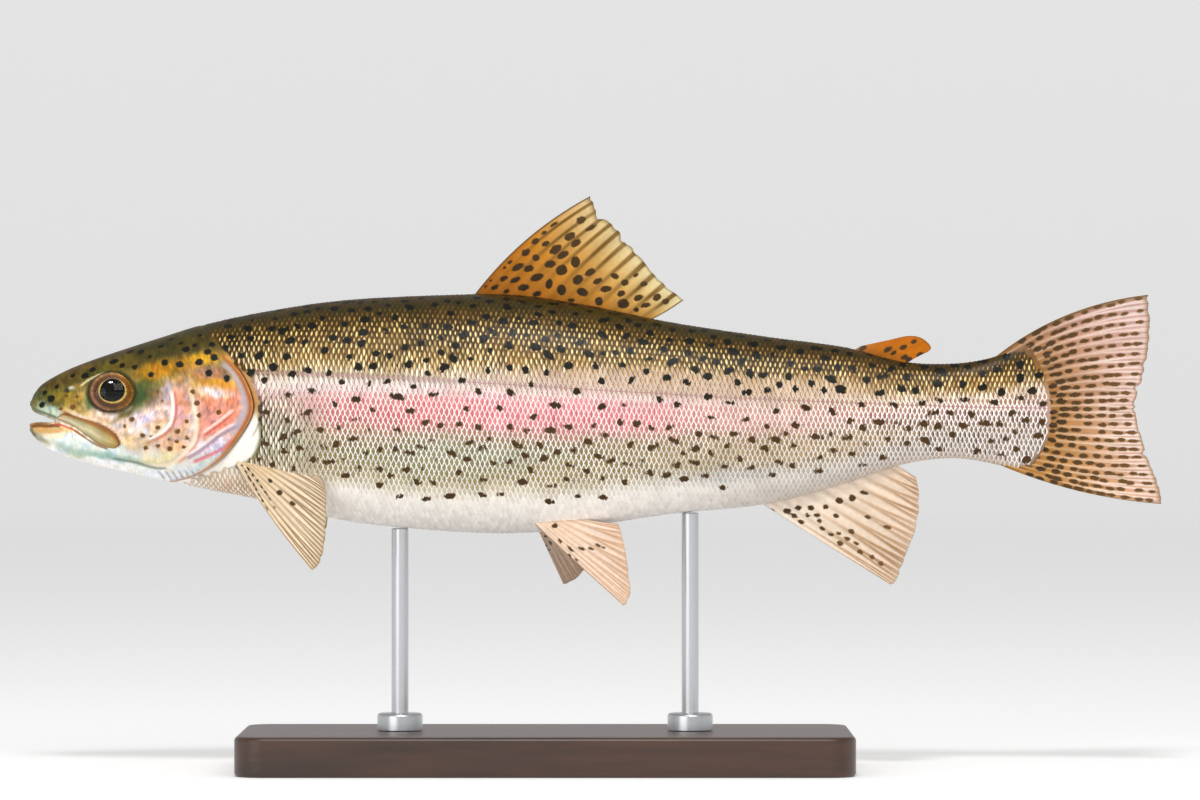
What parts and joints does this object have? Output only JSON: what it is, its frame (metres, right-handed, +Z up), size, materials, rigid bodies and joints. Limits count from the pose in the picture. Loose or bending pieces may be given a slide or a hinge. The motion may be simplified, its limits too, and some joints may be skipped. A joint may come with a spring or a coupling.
{
  "type": "rainbow trout",
  "caption": "Life-size still rainbow trout with a spotted back and a pink side band, held level by rods on a flat wooden display base.",
  "frame": {"origin": "middle of the object's bounding box at the height of the stand's underside", "axes": "+X runs from the snout to the tail, -Y is the fish's left side, +Z is up"},
  "size_m": [0.4, 0.1, 0.203],
  "materials": {
    "skin": "wet satin fish skin with fine scales",
    "eye": "clear gloss cornea over a coppery iris",
    "fin": "thin satin membrane on fine rays",
    "paired_fin": "thin pale satin membrane on fine rays",
    "stand_wood": "satin dark walnut",
    "stand_steel": "satin"
  },
  "bodies": {
    "root": {"head": "skin", "trunk": "skin", "tail_stalk": "skin", "lower_jaw": "skin", "upper_jaw_left": "skin", "upper_jaw_right": "skin", "gill_cover_left": "skin", "gill_cover_right": "skin", "eye_left": "eye", "eye_right": "eye", "dorsal_fin": "fin", "adipose_fin": "fin", "caudal_fin": "fin", "anal_fin": "fin", "pectoral_fin_left": "paired_fin", "pectoral_fin_right": "paired_fin", "pelvic_fin_left": "paired_fin", "pelvic_fin_right": "paired_fin", "stand_base": "stand_wood", "stand_rod_front": "stand_steel", "stand_rod_rear": "stand_steel", "stand_collar_front": "stand_steel", "stand_collar_rear": "stand_steel"}
  },
  "joints": []
}
